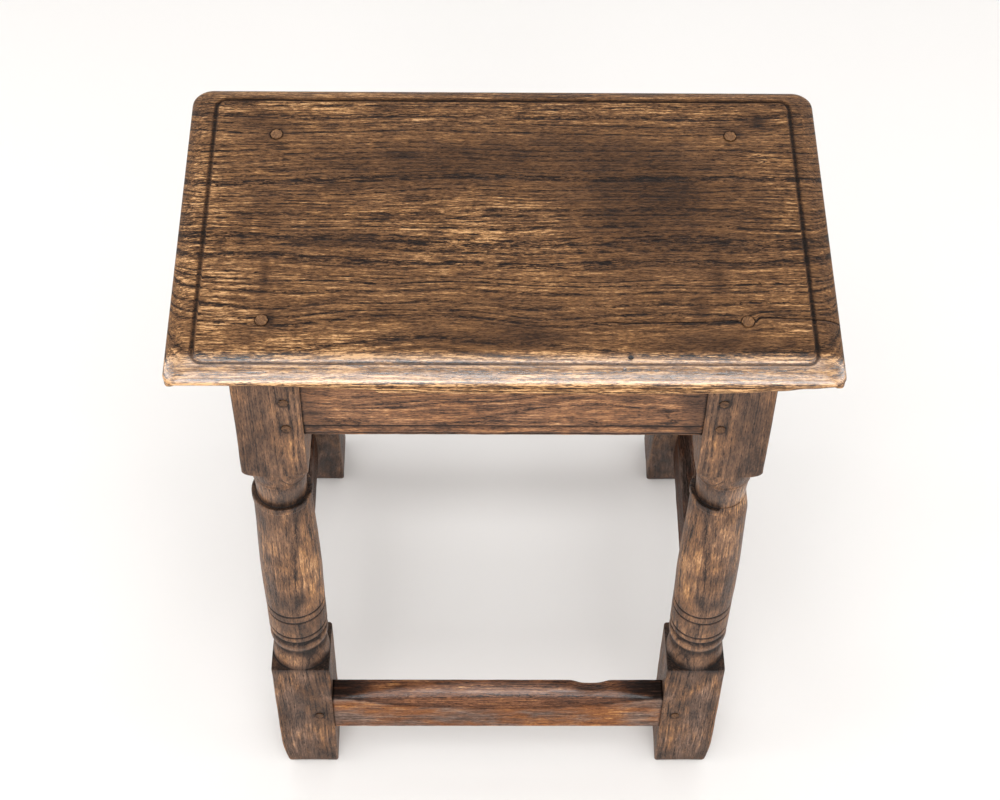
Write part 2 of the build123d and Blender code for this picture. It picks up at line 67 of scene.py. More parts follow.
camera = bpy.data.objects.new("camera", bpy.data.cameras.new("camera"))
camera.data.lens = LENS_MM
camera.data.sensor_width = 36
camera.matrix_world = Matrix.Translation(EYE) @ turn
scene.collection.objects.link(camera)
scene.camera = camera
print("camera at", [round(v, 3) for v in EYE])

# %% [markdown]
# ## Studio
# Dark waxed oak is mostly seen by what it reflects. A broad light overhead and one high up at
# the back give the pale shine along the burnished front edge, and the second also falls on the
# floor between the legs. White walls that stop low and a dim ceiling keep the top brown. Low
# soft lights from the front and the sides reach under the board and keep the shadows pale.

# %% Studio
FLOOR_HALF = 4.0
bm = bmesh.new()
bmesh.ops.create_grid(bm, x_segments=1, y_segments=1, size=FLOOR_HALF)
floor_mesh = bpy.data.meshes.new("floor")
bm.to_mesh(floor_mesh)
bm.free()
floor_piece = bpy.data.objects.new("floor", floor_mesh)
scene.collection.objects.link(floor_piece)

FLOOR_WHITE = (0.92, 0.90, 0.88, 1)
WALL_LEVEL = 2.15
CEILING_LEVEL = 0.12
WALL_TOP = sin(radians(22)), sin(radians(36))
paper = bpy.data.materials.new("floor paper")
paper.use_nodes = True
paper_skin = paper.node_tree.nodes["Principled BSDF"].inputs
paper_skin["Base Color"].default_value = FLOOR_WHITE
paper_skin["Roughness"].default_value = 0.9
paper_skin["Specular IOR Level"].default_value = 0.1
floor_mesh.materials.append(paper)

room = bpy.data.worlds.new("white room")
room.use_nodes = True
scene.world = room
room_nodes = room.node_tree.nodes
sky = room_nodes["Background"]
sky.inputs["Color"].default_value = (1, 0.99, 0.98, 1)
direction = room_nodes.new("ShaderNodeTexCoord")
height_in_room = room_nodes.new("ShaderNodeSeparateXYZ")
wall = room_nodes.new("ShaderNodeMapRange")
wall.interpolation_type = "SMOOTHSTEP"
wall.inputs["From Min"].default_value, wall.inputs["From Max"].default_value = WALL_TOP
wall.inputs["To Min"].default_value = WALL_LEVEL
wall.inputs["To Max"].default_value = CEILING_LEVEL
ray = room_nodes.new("ShaderNodeLightPath")
seen = room_nodes.new("ShaderNodeMapRange")
seen.inputs["To Max"].default_value = 1.0
for start, end in ((direction.outputs["Generated"], height_in_room.inputs[0]),
                   (height_in_room.outputs["Z"], wall.inputs["Value"]),
                   (wall.outputs["Result"], seen.inputs["To Min"]),
                   (ray.outputs["Is Camera Ray"], seen.inputs["Value"]),
                   (seen.outputs["Result"], sky.inputs["Strength"])):
    room.node_tree.links.new(start, end)


def softbox(name, place, target, width, depth, watts):
    """A rectangular lamp that faces a target."""
    lamp = bpy.data.lights.new(name, "AREA")
    lamp.shape = "RECTANGLE"
    lamp.size = width
    lamp.size_y = depth
    lamp.energy = watts
    holder = bpy.data.objects.new(name, lamp)
    holder.location = place
    holder.rotation_euler = (Vector(target) - Vector(place)).to_track_quat("-Z", "Y").to_euler()
    scene.collection.objects.link(holder)


softbox("overhead softbox", (0.0, -0.72, 2.1), (0, -0.2, 0.5), 1.4, 0.8, 10)
softbox("high back softbox", (0.0, 0.98, 2.1), (0, 0, 0.3), 1.7, 0.8, 9.5)
softbox("low front softbox", (0.0, -2.4, 1.5), (0, -0.4, 0.1), 2.6, 1.5, 32)
softbox("left softbox", (-1.5, -0.1, 1.5), (0, 0, 0.2), 1.0, 1.0, 7.5)
softbox("right softbox", (1.5, -0.1, 1.5), (0, 0, 0.2), 1.0, 1.0, 5.5)
print("studio ready")

# %% [markdown]
# ## Even stations along a line
# A worn surface needs vertices where something happens and few where nothing does. This helper
# lays places along a line, each stretch with its own step, for the turnings and for the board.

# %% Stations
def stations(start, stretches):
    """Places along a line, from a start and a list of (end, step)."""
    places = [start]
    for end, step in stretches:
        begin = places[-1]
        count = max(1, round((end - begin) / step))
        places += [begin + (end - begin) * k / count for k in range(1, count + 1)]
    return places


def between(points, x):
    """Height of a line of (x, y) points at x, with smooth steps from one to the next."""
    if x <= points[0][0]:
        return points[0][1]
    for (x0, y0), (x1, y1) in zip(points, points[1:]):
        if x <= x1:
            part = (x - x0) / (x1 - x0)
            return y0 + (y1 - y0) * part * part * (3 - 2 * part)
    return points[-1][1]


def smooth_step(low, high, x):
    """0 below low, 1 above high, and a smooth slope between."""
    part = min(1.0, max(0.0, (x - low) / (high - low)))
    return part * part * (3 - 2 * part)


def wobble(place, size, seed=0.0):
    """Soft random number from -1 to 1 that changes over a size in millimetres."""
    return noise.noise(Vector((place[0] / size + seed, place[1] / size - seed, place[2] / size)))


# %% [markdown]
# ## Finishing a timber
# Five things are stored on every vertex before a timber is handed over. `grain` is its place
# in the log, in millimetres, with x along the fibres, so the figure of the wood follows each
# timber's own direction. `proud` says how far it stands out from a blurred copy of the surface:
# ridges that hands rub bright are positive, and corners that hold dirt and are painted with shade
# are negative. `crosscut` is 1 where the surface cuts straight across the fibres. `tone` is
# painted light and dark, in soft blots, some of it painted shade in grooves and hollows.
# `polish` is 1 where hands and shoes have burnished the wood until its pores are nearly closed.

# %% Timber
BLUR_ROUNDS = 10
WELD = 0.04  # vertices closer than this are one


def measure_surface(bm, fibre_axis):
    """How proud every vertex stands of a smoothed copy, and how far its surface cuts across the fibres."""
    bmesh.ops.recalc_face_normals(bm, faces=bm.faces)
    bm.normal_update()
    before = [(v.co.copy(), v.normal.copy()) for v in bm.verts]
    for _ in range(BLUR_ROUNDS):
        bmesh.ops.smooth_vert(bm, verts=bm.verts, factor=0.5,
                              use_axis_x=True, use_axis_y=True, use_axis_z=True)
    proud, crosscut = bm.verts.layers.float["proud"], bm.verts.layers.float["crosscut"]
    for vert, (place, normal) in zip(bm.verts, before):
        vert[proud] = (place - vert.co).dot(normal)
        vert[crosscut] = abs(normal[fibre_axis])
        vert.co = place


def timber_mesh():
    """Empty bmesh with the five layers of a timber. The three that are painted come with it."""
    bm = bmesh.new()
    layers = bm.verts.layers
    layers.float_vector.new("grain")
    for name in ("proud", "crosscut", "tone", "polish"):
        layers.float.new(name)
    return bm, layers.float_vector["grain"], layers.float["tone"], layers.float["polish"]


def hand_over(bm, name, node, finish, place=Matrix(), fibre_axis=0):
    """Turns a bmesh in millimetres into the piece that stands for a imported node."""
    bmesh.ops.remove_doubles(bm, verts=bm.verts, dist=WELD)
    measure_surface(bm, fibre_axis)
    bmesh.ops.transform(bm, matrix=Matrix.Scale(MM, 4) @ place, verts=bm.verts)
    bmesh.ops.recalc_face_normals(bm, faces=bm.faces)
    for face in bm.faces:
        face.smooth = True
    mesh = bpy.data.meshes.new(name)
    bm.to_mesh(mesh)
    bm.free()
    mesh.materials.append(finish)
    piece = bpy.data.objects.new(name, mesh)
    scene.collection.objects.link(piece)
    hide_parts(node)
    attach(piece, "root")
    sides = [(round(min(c) / MM, 1), round(max(c) / MM, 1)) for c in zip(*[v.co for v in mesh.vertices])]
    print(name, len(mesh.polygons), "faces, from and to", sides)
    return piece


# %% [markdown]
# ## Wood in nodes
# A few lines make node trees readable: one call adds a node and joins its inputs. Everything
# about the oak is worked out in the log's own millimetres, from the `grain` layer.

# %% Node helpers
def srgb(red, green, blue):
    """A colour as it looks on a screen, 0 to 255, in the linear numbers that shaders use."""
    parts = [c / 255 / 12.92 if c < 10 else ((c / 255 + 0.055) / 1.055) ** 2.4 for c in (red, green, blue)]
    return (*parts, 1)


ATTRIBUTE_VECTOR, ATTRIBUTE_NUMBER = 1, 2  # outputs of an Attribute node


class Tree:
    """Adds nodes to one material and joins them."""

    def __init__(self, name):
        self.material = bpy.data.materials.new(name)
        self.material.use_nodes = True
        self.nodes = self.material.node_tree.nodes
        self.links = self.material.node_tree.links
        self.shader = self.nodes["Principled BSDF"]

    def add(self, kind, inputs, output=0, **settings):
        node = self.nodes.new("ShaderNode" + kind)
        for key, value in settings.items():
            setattr(node, key, value)
        for key, value in inputs.items():
            self.join(node.inputs[key], value)
        return node.outputs[output]

    def join(self, socket, value):
        if isinstance(value, bpy.types.NodeSocket):
            self.links.new(value, socket)
        else:
            socket.default_value = value

    def skin(self, **inputs):
        """Sets sockets of the shader, named with _ for each space."""
        for key, value in inputs.items():
            self.join(self.shader.inputs[key.replace("_", " ")], value)

    def layer(self, name, output=ATTRIBUTE_NUMBER):
        return self.add("Attribute", {}, output, attribute_name=name)

    def scaled(self, vector, scale, shift=(0, 0, 0)):
        return self.add("Mapping", {"Vector": vector, "Scale": scale, "Location": shift})

    def noise(self, log, along, across, detail, roughness=0.5, shift=(0, 0, 0)):
        """Noise in the log, with one scale along the fibres and one across them."""
        place = self.scaled(log, (along, across, across), shift)
        return self.add("TexNoise", {"Vector": place, "Scale": 1.0, "Detail": detail, "Roughness": roughness})

    def line_noise(self, place, detail, roughness=0.5):
        """Noise along one number."""
        return self.add("TexNoise", {"W": place, "Scale": 1.0, "Detail": detail, "Roughness": roughness},
                        noise_dimensions="1D")

    def math(self, operation, a, b=0.0, clamp=False):
        return self.add("Math", {0: a, 1: b}, operation=operation, use_clamp=clamp)

    def times(self, a, b):
        return self.math("MULTIPLY", a, b)

    def plus(self, a, b, clamp=False):
        return self.math("ADD", a, b, clamp)

    def minus(self, a, b, clamp=False):
        return self.math("SUBTRACT", a, b, clamp)

    def span(self, value, low, high, to_low=0.0, to_high=1.0):
        """A smooth step from one number to another while a value goes from low to high."""
        ends = {"From Min": low, "From Max": high, "To Min": to_low, "To Max": to_high}
        return self.add("MapRange", {"Value": value, **ends}, interpolation_type="SMOOTHSTEP")

    def blend(self, part, a, b):
        """Mixes two colours. Sockets 6 and 7 of a Mix node take them, and output 2 gives the result."""
        return self.add("Mix", {0: part, 6: a, 7: b}, 2, data_type="RGBA")

    def ramp(self, value, stops):
        node = self.nodes.new("ShaderNodeValToRGB")
        self.links.new(value, node.inputs[0])
        band = node.color_ramp
        while len(band.elements) < len(stops):
            band.elements.new(0.5)
        for element, (place, colour) in zip(band.elements, stops):
            element.position = place
            element.color = colour
        return node.outputs[0]


# %% [markdown]
# ## Old oak
# Oak shows several things at once. Growth rings are shells round the heart of the tree, so they
# are drawn from the distance to a pith line that lies outside the timber: they give long lines
# on a face and arcs on end grain with no extra work. Fibres and pores are noise stretched along
# x, and pores come as short dark dashes. Over all of it lies the skin of three centuries: dark
# in hollows from dirt and from painted shade, golden where it is rubbed, greyish where dust and
# wax sit. Pegs are small and keep their imported shape, so their wood is drawn from their own
# place, with x along the peg.

# %% Old oak
DULL = 0.05  # polish of wood that nothing rubs
BRIGHTNESS_STOPS = (0.0, 0.22, 0.45, 0.68, 0.9, 1.0)


def palette(*colours):
    """Stops of a colour ramp, from dark to pale."""
    return [(place, srgb(*colour)) for place, colour in zip(BRIGHTNESS_STOPS, colours)]


DUSTY = palette((26, 20, 17), (52, 41, 36), (82, 66, 58), (110, 91, 81), (142, 118, 104), (170, 146, 130))


def own_place(t, order):
    """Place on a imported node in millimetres, with its axes in another order."""
    parts = t.nodes.new("ShaderNodeSeparateXYZ")
    t.links.new(t.add("TexCoord", {}, "Object"), parts.inputs[0])
    turned = t.add("CombineXYZ", {"XYZ"[k]: parts.outputs[axis] for k, axis in enumerate(order)})
    return t.scaled(turned, (1000, 1000, 1000))


def old_oak(name, pith, ring_width, shift, colours, level, grey, ring_dark=0.40, streaks=1.0, fibre=0.9,
            clouds=1.0, pore_dark=0.40, shine=0.16, coat=0.04, coat_ior=1.65, order=None):
    """Material of one kind of timber. pith is the heart of the log in the timber's own section."""
    t = Tree(name)
    place = own_place(t, order) if order else t.layer("grain", ATTRIBUTE_VECTOR)
    log = t.add("VectorMath", {0: place, 1: shift}, operation="ADD")
    proud, tone, polish, crosscut = (t.layer(kind) for kind in ("proud", "tone", "polish", "crosscut"))

    # Distance from the heart of the log, drawn out of true by slow noise.
    section = t.add("VectorMath", {0: log, 1: (0, 1, 1)}, operation="MULTIPLY")
    radius = t.add("VectorMath", {0: section, 1: (0, *pith)}, 1, operation="DISTANCE")
    radius = t.plus(radius, t.times(t.noise(log, 0.004, 0.012, 2.0), 20.0))
    radius = t.plus(radius, t.times(t.noise(log, 0.02, 0.12, 2.0), 1.3))

    # Rings of uneven width, each beginning with a dark band, and finer lines that follow them.
    count = t.math("DIVIDE", radius, ring_width)
    count = t.plus(count, t.times(t.line_noise(t.times(count, 0.45), 1.0), 3.0))
    phase = t.math("FRACT", count)
    early = t.times(t.span(phase, 0.0, 0.14), t.span(phase, 0.46, 0.16))
    fine = t.line_noise(t.times(radius, 0.72), 2.5, 0.75)

    # Streaks, fibres and pores are all stretched along the log.
    streak = t.noise(log, 0.042, 0.55, 3.0, 0.66)
    fibres = t.noise(log, 0.20, 1.45, 3.0, 0.70, (5, 2, 9))
    dashes = t.noise(log, 0.30, 1.9, 1.5, 0.6, (31, 7, 3))
    broken = t.span(t.noise(log, 0.10, 0.5, 3.0, 0.70, (3, 3, 3)), 0.42, 0.62, 0.05, 1.0)
    line = t.times(early, t.math("MAXIMUM", broken, crosscut))
    pore = t.times(t.span(dashes, 0.55, 0.62), t.span(early, 0.0, 1.0, 0.45, 1.0))
    patches = t.noise(log, 0.012, 0.035, 4.0, 0.62, (8, 1, 4))
    smudges = t.noise(log, 0.05, 0.13, 4.0, 0.70, (2, 9, 6))
    fine = t.times(t.minus(fine, 0.5), t.plus(broken, 0.35))

    # The figure of the wood is strongest where it is painted pale, and weak on end grain.
    figure = t.times(fine, 0.60 * streaks)
    for source, amount in ((streak, 0.85 * streaks), (fibres, 1.05 * fibre)):
        figure = t.plus(figure, t.times(t.minus(source, 0.5), amount))
    figure = t.times(figure, t.span(crosscut, 0.3, 0.9, 1.0, 0.45))
    figure = t.minus(figure, t.times(line, ring_dark))
    figure = t.minus(figure, t.times(pore, pore_dark))
    figure = t.times(figure, t.span(tone, -0.25, 0.25, 0.70, 1.65))
    clear = t.times(t.span(polish, 0.4, 1.0, 1.0, 0.50), t.span(polish, 0.0, DULL, 0.6, 1.0))
    figure = t.times(figure, clear)

    # One number from dark to pale. Painted tones get streaky borders from the streaks.
    ragged = t.times(tone, t.span(streak, 0.30, 0.66, 0.45, 1.55))
    value = t.plus(t.plus(ragged, level), figure)
    for source, amount in ((patches, 0.45 * clouds), (smudges, 0.50 * clouds)):
        value = t.plus(value, t.times(t.minus(source, 0.5), amount))

    # Ridges are rubbed pale. Hollows are darker: they keep their dirt, and are painted with shade. Dust lies
    # greyish over patches of both.
    ridge = t.times(t.span(proud, 0.10, 0.7), t.span(smudges, 0.36, 0.62, 0.2, 1.0))
    hollow_dirt_and_shade = t.times(t.span(proud, -0.10, -0.75), t.span(smudges, 0.30, 0.55, 0.5, 1.0))
    hollow_dirt_and_shade = t.times(hollow_dirt_and_shade, t.span(polish, 0.4, 1.0, 1.0, 0.5))
    ridge = t.times(ridge, t.span(polish, 0.4, 1.0, 1.0, 0.3))
    value = t.plus(value, t.times(ridge, 0.18))
    value = t.minus(value, t.times(hollow_dirt_and_shade, 0.5))
    veil = t.span(t.noise(log, 0.018, 0.05, 4.0, 0.65, (14, 5, 2)), 0.38, 0.62, 0.0, grey)
    veil = t.times(veil, t.span(polish, DULL, 0.15, 1.0, 0.1))
    t.skin(Base_Color=t.blend(veil, t.ramp(value, colours), t.ramp(value, DUSTY)))

    # Waxed skin: rough in smudges and pores, and smooth where it is polished.
    rough = t.span(t.plus(smudges, t.times(dashes, 0.3)), 0.4, 0.9, 0.42, 0.62)
    rough = t.minus(rough, t.times(polish, 0.22))
    t.skin(Roughness=t.plus(rough, t.times(pore, 0.15), clamp=True), Specular_IOR_Level=shine)
    burnished = t.times(t.minus(polish, DULL, clamp=True), 0.95 - coat)
    t.skin(Coat_Weight=t.plus(coat, burnished), Coat_Roughness=0.26, Coat_IOR=coat_ior)

    # Relief: rings and pores have sunk, fibres stand, and there are small dents.
    height = t.times(line, -0.40)
    for source, amount in ((pore, -0.40), (fibres, 0.45), (streak, 0.35), (fine, 0.3), (smudges, 0.5)):
        height = t.plus(height, t.times(source, amount))
    height = t.times(height, t.span(polish, 0.0, 1.0, 1.0, 0.35))
    bump = t.add("Bump", {"Height": height, "Strength": 0.7, "Distance": 0.0008})
    t.skin(Normal=bump, Coat_Normal=bump)
    return t.material


BOARD_BROWN = palette((22, 13, 8), (50, 32, 19), (90, 61, 37), (122, 86, 54), (172, 127, 82), (210, 164, 114))
LEG_BROWN = palette((26, 18, 14), (56, 39, 29), (90, 64, 46), (124, 89, 62), (164, 119, 76), (194, 148, 102))
APRON_BROWN = palette((28, 18, 13), (62, 41, 29), (100, 68, 46), (134, 92, 62), (170, 123, 80),
                      (200, 154, 108))
FOOT_BROWN = palette((26, 14, 9), (58, 33, 20), (94, 57, 34), (126, 80, 50), (168, 116, 68), (204, 156, 100))

board_oak = old_oak("board oak", (-150, -190), 4.2, (0, 0, 0), BOARD_BROWN, 0.59, 0.06, ring_dark=0.54,
                    streaks=1.25, fibre=1.25, pore_dark=0.46, shine=0.13, coat=0.0, coat_ior=2.7)
leg_oak = old_oak("leg oak", (-55, -70), 3.4, (300, 0, 0), LEG_BROWN, 0.50, 0.65, ring_dark=0.26,
                  streaks=0.8, fibre=0.6, clouds=2.1, pore_dark=0.24)
apron_oak = old_oak("apron oak", (-60, 20), 3.0, (900, 0, 0), APRON_BROWN, 0.49, 0.15, ring_dark=0.34,
                    streaks=1.3, fibre=1.0, clouds=1.6)
stretcher_oak = old_oak("stretcher oak", (60, -50), 3.4, (1500, 0, 0), FOOT_BROWN, 0.54, 1.0, ring_dark=0.34,
                        streaks=1.2, clouds=1.1, shine=0.06, coat=0.0, coat_ior=1.9)
PEG_KINDS = {"seat": ((2, 0, 1), 0.65), "long": ((1, 0, 2), 0.42), "end": ((0, 1, 2), 0.42)}
peg_oaks = {way: old_oak("peg oak " + way, (6, 9), 1.6, (60, 0, 0), BOARD_BROWN, level, 0.1, ring_dark=0.2,
                         fibre=0.5, order=axes) for way, (axes, level) in PEG_KINDS.items()}
print("oak finishes:", len(bpy.data.materials) - 1)

# %% [markdown]
# ## Board
# The board is one plank. A scratched groove runs round its top, and outside it the edge falls
# away in a thumb moulding. All of that is a set of nested rounded rectangles, so the board
# starts as a grid whose lines are close together where the moulding is. Each point is then
# moved to its own rounded ring and dropped to the height of the moulding there.

# %% Board sizes
TOP = 552.0
HALF_LENGTH = 230.0
HALF_DEPTH = 131.5
MOULD_END = 19.0
MOULD_FRONT = 13.5
FRONT_CORNER = 9.0
BACK_CORNER = 14.0
GROOVE_CORNER = 8.0
THUMB_STEP = 0.8
THUMB_FALL = 8.0
GROOVE_TOOL = 2.0
GROOVE_SUNK = 1.8
GROOVE_HALF = 1.97
GROOVE_SHADE = 1.5
RINGS = [0, .03, .07, .12, .18, .25, .32, .39, .46, .53, .6, .66, .72, .78, .83, .87, .9, .93,
         .96, .98, 1, 1.02, 1.04, 1.07, 1.1, 1.13, 1.17, 1.22, 1.3, 1.4, 1.52]


def board_lines(half, mould, dense):
    """Grid lines across the board: close in the moulding and where the list says so."""
    outer = [half - mould * t for t in RINGS]
    middle = stations(-outer[-1], dense + [(outer[-1], 2.3)])
    return [-v for v in outer[:-1]] + middle + outer[-2::-1]


def rim_corner(y):
    """Radius of a corner of the rim: the back ones are rounder than the front ones."""
    return BACK_CORNER if y > 0 else FRONT_CORNER


def ring_point(x, y):
    """Moves a point of the square grid to its rounded ring, and tells which ring that is."""
    ring_x = (HALF_LENGTH - abs(x)) / MOULD_END
    ring_y = (HALF_DEPTH - abs(y)) / MOULD_FRONT
    ring = min(ring_x, ring_y)
    wide = HALF_LENGTH - MOULD_END * ring
    deep = HALF_DEPTH - MOULD_FRONT * ring
    corner = rim_corner(y) + (GROOVE_CORNER - rim_corner(y)) * ring
    if ring > 1:
        corner = GROOVE_CORNER * max(0, 1 - (ring - 1) / (RINGS[-1] - 1))
    px, py = abs(x), abs(y)
    on_long_side = ring_y <= ring_x
    rest = wide - px if on_long_side else deep - py
    if rest < corner:
        angle = (1 - rest / corner) * pi / 4
        near, far = corner * sin(angle), corner * cos(angle)
        if not on_long_side:
            near, far = far, near
        px, py = wide - corner + near, deep - corner + far
    return copysign(px, x), copysign(py, y), ring


def from_groove(x, y):
    """Distance from the middle of the groove, outwards positive."""
    qx = abs(x) - (HALF_LENGTH - MOULD_END - GROOVE_CORNER)
    qy = abs(y) - (HALF_DEPTH - MOULD_FRONT - GROOVE_CORNER)
    return hypot(max(qx, 0), max(qy, 0)) + min(max(qx, qy), 0) - GROOVE_CORNER


def board_height(x, y, ring):
    """Height of the top over its own flat field: moulding, groove, wear and dents."""
    z = 0.0
    if ring < 1:
        z = -THUMB_STEP - THUMB_FALL + THUMB_FALL * sqrt(max(0, 1 - (1 - ring) ** 2))
    away = from_groove(x, y)
    if abs(away) < GROOVE_HALF:
        z = min(z, GROOVE_TOOL - GROOVE_SUNK - sqrt(GROOVE_TOOL ** 2 - away * away))
    z -= 0.7 * exp(-(x / 130) ** 2 - (y / 70) ** 2)
    z -= 0.22 * (1 + wobble((x, y, 0), 38)) * smooth_step(0, 0.5, ring)
    z -= 0.12 * (1 + wobble((x, y, 0), 9, 4.0)) * smooth_step(0, 0.3, ring)
    return z - 0.05


# %% [markdown]
# ## Marks on the board
# Four pegs come up through the board, so it has four holes with clean rims. A drying crack
# runs in from the right end along the fibres, and there are two old nail holes in the front.
# A hole in a skin of close vertices needs no cutting: those near the rim are moved onto it, and
# those inside are pushed down. The crack takes one row of the grid, bends it along the fibres
# and presses it in, with its neighbours drawn close on both sides.

# %% Marks on the board
PEG_SPOTS = [(165.5, -83.5), (-165.5, -83.5), (165.3, 83.5), (-165.3, 83.5)]
PEG_HOLE = 4.75
NAIL_HOLES = [((84.3, -113.4), 2.1, 1.8), ((79.9, -122.6), 1.3, 0.9)]
CRACK = [(60, -86.5), (84, -85.2), (130, -84.2), (156, -82.6), (176, -79.8), (218, -81), (230, -82)]
CRACK_REACH = 9.0
CRACK_DEPTH = 3.0
RIM_REACH = 0.6  # vertices this close to the rim of a hole are moved onto it


def sink_hole(vert, centre, radius, depth):
    """Presses a round hole with a clean rim into close vertices, and returns its darkness."""
    dx, dy = vert.co.x - centre[0], vert.co.y - centre[1]
    away = hypot(dx, dy)
    if away > radius + RIM_REACH:
        return 0.0
    if away > radius - RIM_REACH:
        vert.co.xy = centre[0] + dx / away * radius, centre[1] + dy / away * radius
        return 0.2
    vert.co.z -= depth
    if away > radius - 1.4:
        vert.co.xy = centre[0] + dx / away * (radius - 0.2), centre[1] + dy / away * (radius - 0.2)
    return 0.5


def open_crack(vert, off_row, crack_row):
    """Bends the grid rows near the crack along it, and presses the middle one in. Returns its darkness."""
    x = vert.co.x
    part = smooth_step(62, 88, x) * (1 - smooth_step(157, 160, x) + smooth_step(171, 174, x))
    if part == 0 or abs(off_row) > CRACK_REACH:
        return 0.0
    near = 1 - abs(off_row) / CRACK_REACH
    vert.co.y += part * near * (between(CRACK, x) - crack_row)
    if 0.1 < abs(off_row) < 1.2:
        vert.co.y -= 0.4 * part * off_row
        return 0.2 * part
    if abs(off_row) < 0.1:
        vert.co.z -= CRACK_DEPTH * part * (1 - 0.5 * smooth_step(196, 212, x))
        return part
    return 0.0


# %% [markdown]
# ## Edge of the board
# Below the moulding the edge drops straight and turns under. Along the front, sitters and
# cloths have rubbed the lower corner away towards both ends, so there the straight part is only
# a few millimetres high. Two profiles are drawn, one plain and one rubbed, and every ring of
# vertices that is extruded down takes a blend of the two.

# %% Edge of the board
PLAIN_EDGE = [(0, -9.6), (0, -10.8), (0, -12.5), (0, -14.5), (0, -16.4), (0.15, -17.8),
              (0.6, -18.8), (1.3, -19.5), (2.2, -20), (4, -20), (9, -20)]
RUBBED_EDGE = [(0, -9.2), (0.1, -9.5), (0.3, -9.9), (0.8, -10.6), (1.6, -11.6), (2.8, -13.2),
               (4.2, -15), (5.8, -17), (7.6, -18.8), (9.5, -19.9), (13, -20)]
FRONT_WEAR = [(-230, 11), (-204, 9.9), (-171, 8.9), (-118, 6.2), (-90, 4), (-84, 0.4),
              (-37, 0), (110, 0), (158, 1.5), (187, 3.6), (205, 6.6), (230, 9.5)]
FULL_WEAR = 9
ON_EDGE = -1  # stands for the ring where a place is on the edge, below the top


def rim_normal(x, y):
    """Which way the edge of the board faces, seen from above."""
    qx = abs(x) - (HALF_LENGTH - rim_corner(y))
    qy = abs(y) - (HALF_DEPTH - rim_corner(y))
    if qx > 0 and qy > 0:
        size = hypot(qx, qy)
        return copysign(qx / size, x), copysign(qy / size, y)
    return (copysign(1, x), 0.0) if qx > qy else (0.0, copysign(1, y))


def turn_down_edge(bm, grain, tone, polish):
    """Extrudes the outline of the top down its edge and under it, then closes the bottom."""
    edge = [e for e in bm.edges if e.is_boundary]
    rim = {v: (v.co.x, v.co.y, *rim_normal(v.co.x, v.co.y)) for e in edge for v in e.verts}
    for (inset, drop), (inset_rubbed, drop_rubbed) in zip(PLAIN_EDGE, RUBBED_EDGE):
        grown = bmesh.ops.extrude_edge_only(bm, edges=edge)["geom"]
        fresh = {g for g in grown if isinstance(g, bmesh.types.BMVert)}
        edge = [g for g in grown if isinstance(g, bmesh.types.BMEdge) and set(g.verts) <= fresh]
        below = {}
        for vert in fresh:
            source = next(e.other_vert(vert) for e in vert.link_edges if e.other_vert(vert) in rim)
            x, y, nx, ny = below[vert] = rim[source]
            rubbed = min(1, between(FRONT_WEAR, x) / FULL_WEAR) * smooth_step(0.3, 0.9, -ny)
            low = drop + (drop_rubbed - drop) * rubbed
            deep = inset + (inset_rubbed - inset) * rubbed + 0.2 * (1 + wobble((x, y, low), 12, 9.0))
            vert.co = (x - nx * deep, y - ny * deep, low)
            vert[grain] = vert.co
            vert[tone] = board_tone(x, y, ON_EDGE)
            vert[polish] = board_polish(x, y, ON_EDGE)
        rim = below
    bmesh.ops.contextual_create(bm, geom=edge)


# %% [markdown]
# ## Legs
# A leg is square stock that stays square where rails join it and is turned between. Seen from
# its own axis, the wood ends either at the square faces or at the turner's profile, whichever
# is nearer. So the profile is drawn once as radius against height, spun round the axis, and
# every point is then pulled in to the square if it stands outside it. The arrises get a small
# worn radius in the same step.

# %% Leg sizes
STOCK_HALF = 24.5
LEG_X = 165.5
RAKE = radians(6.6)
BACK_LEAN = radians(0.77)
BOARD_THICKNESS = 20
BOARD_OVERHANG = 21
UNDERSIDE = TOP - BOARD_THICKNESS
LEG_LENGTH = UNDERSIDE / cos(RAKE)
FOOT_Y = HALF_DEPTH - BOARD_OVERHANG - STOCK_HALF / cos(RAKE) + UNDERSIDE * tan(RAKE)
HEAD_BLOCK = 122
HEAD = LEG_LENGTH - HEAD_BLOCK
COLLAR = 371
SCORES = (197.9, 219.2, 227.9)
CLEAR = 60.0  # a radius outside the square stock, for the parts that aren't turned
SPIN_STEPS = 128
print("leg length", round(LEG_LENGTH, 1), "foot", round(FOOT_Y, 1))


def bow(start, middle, end, count):
    """Points of a shallow curve through three (radius, height) points."""
    points = []
    for k in range(count + 1):
        t = k / count
        a, b, c = 2 * (t - 0.5) * (t - 1), 4 * t * (1 - t), 2 * t * (t - 0.5)
        points.append(tuple(a * s + b * m + c * e for s, m, e in zip(start, middle, end)))
    return points


